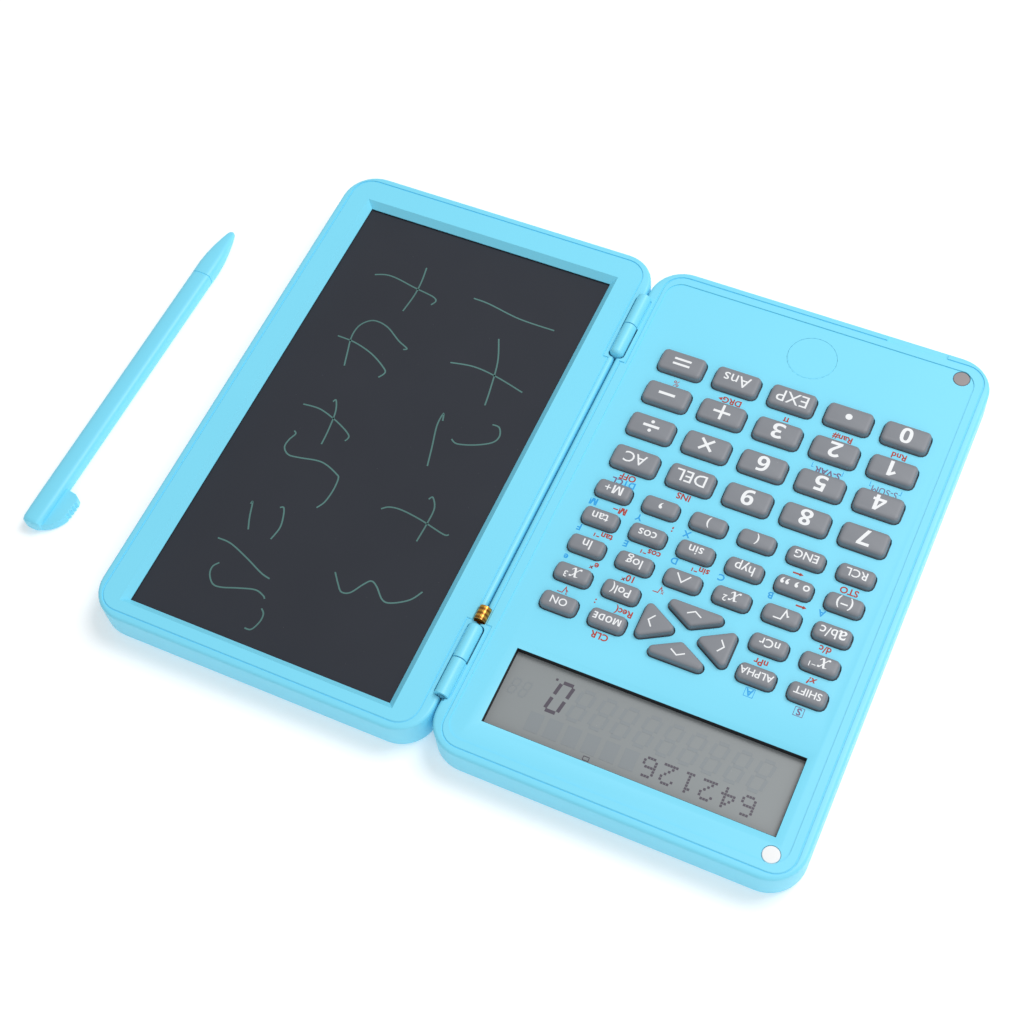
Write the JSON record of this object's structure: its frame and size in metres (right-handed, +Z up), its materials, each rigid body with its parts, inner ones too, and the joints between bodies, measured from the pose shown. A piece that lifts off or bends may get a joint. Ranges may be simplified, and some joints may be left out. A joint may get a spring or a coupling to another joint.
{
  "type": "folding scientific calculator",
  "caption": "Folding scientific calculator opened flat: a keypad half with a display, hinged to an LCD writing tablet half, with a stylus beside it.",
  "frame": {"origin": "centre of the calculator half's flat underside", "axes": "the user's frame: +X right from the calculator half to the writing tablet half, +Y away from the user towards the display, +Z up out of the keys"},
  "size_m": [0.2239, 0.1544, 0.0126],
  "materials": {
    "shell": "light cyan moulded plastic with a satin, very finely textured surface",
    "keys": "mid grey matte key caps with soft edges",
    "display": "grey reflective LCD behind a satin polarizer film",
    "writing_film": "dark charcoal writing film with a fine satin surface",
    "board": "green solder mask on laminate",
    "steel": "plain steel",
    "amber_film": "amber polyimide film with copper tracks"
  },
  "bodies": {
    "calculator": {"calculator_bottom_case": "shell", "calculator_fascia": "shell", "display_panel": "display", "circuit_board": "board", "battery_cover": "shell", "flex_cable": "amber_film", "hinge_pin_near": "steel", "hinge_pin_far": "steel"},
    "tablet": {"tablet_bottom_case": "shell", "tablet_frame": "shell", "writing_screen": "writing_film"},
    "stylus_body": {"stylus": "shell"},
    "erase_button_body": {"erase_button": "shell"},
    "arrow_pad_body": {"arrow_pad": "keys"},
    "key_seven_body": {"key_seven": "keys"},
    "key_eight_body": {"key_eight": "keys"},
    "key_nine_body": {"key_nine": "keys"},
    "key_delete_body": {"key_delete": "keys"},
    "key_all_clear_body": {"key_all_clear": "keys"},
    "key_four_body": {"key_four": "keys"},
    "key_five_body": {"key_five": "keys"},
    "key_six_body": {"key_six": "keys"},
    "key_multiply_body": {"key_multiply": "keys"},
    "key_divide_body": {"key_divide": "keys"},
    "key_one_body": {"key_one": "keys"},
    "key_two_body": {"key_two": "keys"},
    "key_three_body": {"key_three": "keys"},
    "key_add_body": {"key_add": "keys"},
    "key_subtract_body": {"key_subtract": "keys"},
    "key_zero_body": {"key_zero": "keys"},
    "key_point_body": {"key_point": "keys"},
    "key_exponent_body": {"key_exponent": "keys"},
    "key_answer_body": {"key_answer": "keys"},
    "key_equals_body": {"key_equals": "keys"},
    "key_recall_body": {"key_recall": "keys"},
    "key_engineering_body": {"key_engineering": "keys"},
    "key_open_bracket_body": {"key_open_bracket": "keys"},
    "key_close_bracket_body": {"key_close_bracket": "keys"},
    "key_comma_body": {"key_comma": "keys"},
    "key_memory_add_body": {"key_memory_add": "keys"},
    "key_negative_body": {"key_negative": "keys"},
    "key_degrees_body": {"key_degrees": "keys"},
    "key_hyperbolic_body": {"key_hyperbolic": "keys"},
    "key_sine_body": {"key_sine": "keys"},
    "key_cosine_body": {"key_cosine": "keys"},
    "key_tangent_body": {"key_tangent": "keys"},
    "key_fraction_body": {"key_fraction": "keys"},
    "key_square_root_body": {"key_square_root": "keys"},
    "key_square_body": {"key_square": "keys"},
    "key_power_body": {"key_power": "keys"},
    "key_logarithm_body": {"key_logarithm": "keys"},
    "key_natural_log_body": {"key_natural_log": "keys"},
    "key_reciprocal_body": {"key_reciprocal": "keys"},
    "key_combinations_body": {"key_combinations": "keys"},
    "key_polar_body": {"key_polar": "keys"},
    "key_cube_body": {"key_cube": "keys"},
    "key_shift_body": {"key_shift": "keys"},
    "key_alpha_body": {"key_alpha": "keys"},
    "key_mode_body": {"key_mode": "keys"},
    "key_on_body": {"key_on": "keys"}
  },
  "joints": [
    {"name": "case_hinge", "type": "hinge", "parent": "calculator", "child": "tablet", "pos_m": [0.04775, 0, 0.01065], "axis": [0, -1, 0], "range_deg": [0, 180]},
    {"name": "erase_button_press", "type": "slide", "parent": "calculator", "child": "erase_button_body", "axis": [0, 0, -1], "range_m": [0, 0.0008], "stiffness_N_per_m": 800},
    {"name": "stylus_lift", "type": "slide", "parent": "calculator", "child": "stylus_body", "axis": [0, 0, 1], "range_m": [0, 0.05]},
    {"name": "arrow_pad_press", "type": "slide", "parent": "calculator", "child": "arrow_pad_body", "axis": [0, 0, -1], "range_m": [0, 0.0008], "stiffness_N_per_m": 900},
    {"name": "key_seven_press", "type": "slide", "parent": "calculator", "child": "key_seven_body", "axis": [0, 0, -1], "range_m": [0, 0.0008], "stiffness_N_per_m": 600},
    {"name": "key_eight_press", "type": "slide", "parent": "calculator", "child": "key_eight_body", "axis": [0, 0, -1], "range_m": [0, 0.0008], "stiffness_N_per_m": 600},
    {"name": "key_nine_press", "type": "slide", "parent": "calculator", "child": "key_nine_body", "axis": [0, 0, -1], "range_m": [0, 0.0008], "stiffness_N_per_m": 600},
    {"name": "key_delete_press", "type": "slide", "parent": "calculator", "child": "key_delete_body", "axis": [0, 0, -1], "range_m": [0, 0.0008], "stiffness_N_per_m": 600},
    {"name": "key_all_clear_press", "type": "slide", "parent": "calculator", "child": "key_all_clear_body", "axis": [0, 0, -1], "range_m": [0, 0.0008], "stiffness_N_per_m": 600},
    {"name": "key_four_press", "type": "slide", "parent": "calculator", "child": "key_four_body", "axis": [0, 0, -1], "range_m": [0, 0.0008], "stiffness_N_per_m": 600},
    {"name": "key_five_press", "type": "slide", "parent": "calculator", "child": "key_five_body", "axis": [0, 0, -1], "range_m": [0, 0.0008], "stiffness_N_per_m": 600},
    {"name": "key_six_press", "type": "slide", "parent": "calculator", "child": "key_six_body", "axis": [0, 0, -1], "range_m": [0, 0.0008], "stiffness_N_per_m": 600},
    {"name": "key_multiply_press", "type": "slide", "parent": "calculator", "child": "key_multiply_body", "axis": [0, 0, -1], "range_m": [0, 0.0008], "stiffness_N_per_m": 600},
    {"name": "key_divide_press", "type": "slide", "parent": "calculator", "child": "key_divide_body", "axis": [0, 0, -1], "range_m": [0, 0.0008], "stiffness_N_per_m": 600},
    {"name": "key_one_press", "type": "slide", "parent": "calculator", "child": "key_one_body", "axis": [0, 0, -1], "range_m": [0, 0.0008], "stiffness_N_per_m": 600},
    {"name": "key_two_press", "type": "slide", "parent": "calculator", "child": "key_two_body", "axis": [0, 0, -1], "range_m": [0, 0.0008], "stiffness_N_per_m": 600},
    {"name": "key_three_press", "type": "slide", "parent": "calculator", "child": "key_three_body", "axis": [0, 0, -1], "range_m": [0, 0.0008], "stiffness_N_per_m": 600},
    {"name": "key_add_press", "type": "slide", "parent": "calculator", "child": "key_add_body", "axis": [0, 0, -1], "range_m": [0, 0.0008], "stiffness_N_per_m": 600},
    {"name": "key_subtract_press", "type": "slide", "parent": "calculator", "child": "key_subtract_body", "axis": [0, 0, -1], "range_m": [0, 0.0008], "stiffness_N_per_m": 600},
    {"name": "key_zero_press", "type": "slide", "parent": "calculator", "child": "key_zero_body", "axis": [0, 0, -1], "range_m": [0, 0.0008], "stiffness_N_per_m": 600},
    {"name": "key_point_press", "type": "slide", "parent": "calculator", "child": "key_point_body", "axis": [0, 0, -1], "range_m": [0, 0.0008], "stiffness_N_per_m": 600},
    {"name": "key_exponent_press", "type": "slide", "parent": "calculator", "child": "key_exponent_body", "axis": [0, 0, -1], "range_m": [0, 0.0008], "stiffness_N_per_m": 600},
    {"name": "key_answer_press", "type": "slide", "parent": "calculator", "child": "key_answer_body", "axis": [0, 0, -1], "range_m": [0, 0.0008], "stiffness_N_per_m": 600},
    {"name": "key_equals_press", "type": "slide", "parent": "calculator", "child": "key_equals_body", "axis": [0, 0, -1], "range_m": [0, 0.0008], "stiffness_N_per_m": 600},
    {"name": "key_recall_press", "type": "slide", "parent": "calculator", "child": "key_recall_body", "axis": [0, 0, -1], "range_m": [0, 0.0008], "stiffness_N_per_m": 600},
    {"name": "key_engineering_press", "type": "slide", "parent": "calculator", "child": "key_engineering_body", "axis": [0, 0, -1], "range_m": [0, 0.0008], "stiffness_N_per_m": 600},
    {"name": "key_open_bracket_press", "type": "slide", "parent": "calculator", "child": "key_open_bracket_body", "axis": [0, 0, -1], "range_m": [0, 0.0008], "stiffness_N_per_m": 600},
    {"name": "key_close_bracket_press", "type": "slide", "parent": "calculator", "child": "key_close_bracket_body", "axis": [0, 0, -1], "range_m": [0, 0.0008], "stiffness_N_per_m": 600},
    {"name": "key_comma_press", "type": "slide", "parent": "calculator", "child": "key_comma_body", "axis": [0, 0, -1], "range_m": [0, 0.0008], "stiffness_N_per_m": 600},
    {"name": "key_memory_add_press", "type": "slide", "parent": "calculator", "child": "key_memory_add_body", "axis": [0, 0, -1], "range_m": [0, 0.0008], "stiffness_N_per_m": 600},
    {"name": "key_negative_press", "type": "slide", "parent": "calculator", "child": "key_negative_body", "axis": [0, 0, -1], "range_m": [0, 0.0008], "stiffness_N_per_m": 600},
    {"name": "key_degrees_press", "type": "slide", "parent": "calculator", "child": "key_degrees_body", "axis": [0, 0, -1], "range_m": [0, 0.0008], "stiffness_N_per_m": 600},
    {"name": "key_hyperbolic_press", "type": "slide", "parent": "calculator", "child": "key_hyperbolic_body", "axis": [0, 0, -1], "range_m": [0, 0.0008], "stiffness_N_per_m": 600},
    {"name": "key_sine_press", "type": "slide", "parent": "calculator", "child": "key_sine_body", "axis": [0, 0, -1], "range_m": [0, 0.0008], "stiffness_N_per_m": 600},
    {"name": "key_cosine_press", "type": "slide", "parent": "calculator", "child": "key_cosine_body", "axis": [0, 0, -1], "range_m": [0, 0.0008], "stiffness_N_per_m": 600},
    {"name": "key_tangent_press", "type": "slide", "parent": "calculator", "child": "key_tangent_body", "axis": [0, 0, -1], "range_m": [0, 0.0008], "stiffness_N_per_m": 600},
    {"name": "key_fraction_press", "type": "slide", "parent": "calculator", "child": "key_fraction_body", "axis": [0, 0, -1], "range_m": [0, 0.0008], "stiffness_N_per_m": 600},
    {"name": "key_square_root_press", "type": "slide", "parent": "calculator", "child": "key_square_root_body", "axis": [0, 0, -1], "range_m": [0, 0.0008], "stiffness_N_per_m": 600},
    {"name": "key_square_press", "type": "slide", "parent": "calculator", "child": "key_square_body", "axis": [0, 0, -1], "range_m": [0, 0.0008], "stiffness_N_per_m": 600},
    {"name": "key_power_press", "type": "slide", "parent": "calculator", "child": "key_power_body", "axis": [0, 0, -1], "range_m": [0, 0.0008], "stiffness_N_per_m": 600},
    {"name": "key_logarithm_press", "type": "slide", "parent": "calculator", "child": "key_logarithm_body", "axis": [0, 0, -1], "range_m": [0, 0.0008], "stiffness_N_per_m": 600},
    {"name": "key_natural_log_press", "type": "slide", "parent": "calculator", "child": "key_natural_log_body", "axis": [0, 0, -1], "range_m": [0, 0.0008], "stiffness_N_per_m": 600},
    {"name": "key_reciprocal_press", "type": "slide", "parent": "calculator", "child": "key_reciprocal_body", "axis": [0, 0, -1], "range_m": [0, 0.0008], "stiffness_N_per_m": 600},
    {"name": "key_combinations_press", "type": "slide", "parent": "calculator", "child": "key_combinations_body", "axis": [0, 0, -1], "range_m": [0, 0.0008], "stiffness_N_per_m": 600},
    {"name": "key_polar_press", "type": "slide", "parent": "calculator", "child": "key_polar_body", "axis": [0, 0, -1], "range_m": [0, 0.0008], "stiffness_N_per_m": 600},
    {"name": "key_cube_press", "type": "slide", "parent": "calculator", "child": "key_cube_body", "axis": [0, 0, -1], "range_m": [0, 0.0008], "stiffness_N_per_m": 600},
    {"name": "key_shift_press", "type": "slide", "parent": "calculator", "child": "key_shift_body", "axis": [0, 0, -1], "range_m": [0, 0.0008], "stiffness_N_per_m": 600},
    {"name": "key_alpha_press", "type": "slide", "parent": "calculator", "child": "key_alpha_body", "axis": [0, 0, -1], "range_m": [0, 0.0008], "stiffness_N_per_m": 600},
    {"name": "key_mode_press", "type": "slide", "parent": "calculator", "child": "key_mode_body", "axis": [0, 0, -1], "range_m": [0, 0.0008], "stiffness_N_per_m": 600},
    {"name": "key_on_press", "type": "slide", "parent": "calculator", "child": "key_on_body", "axis": [0, 0, -1], "range_m": [0, 0.0008], "stiffness_N_per_m": 600}
  ]
}
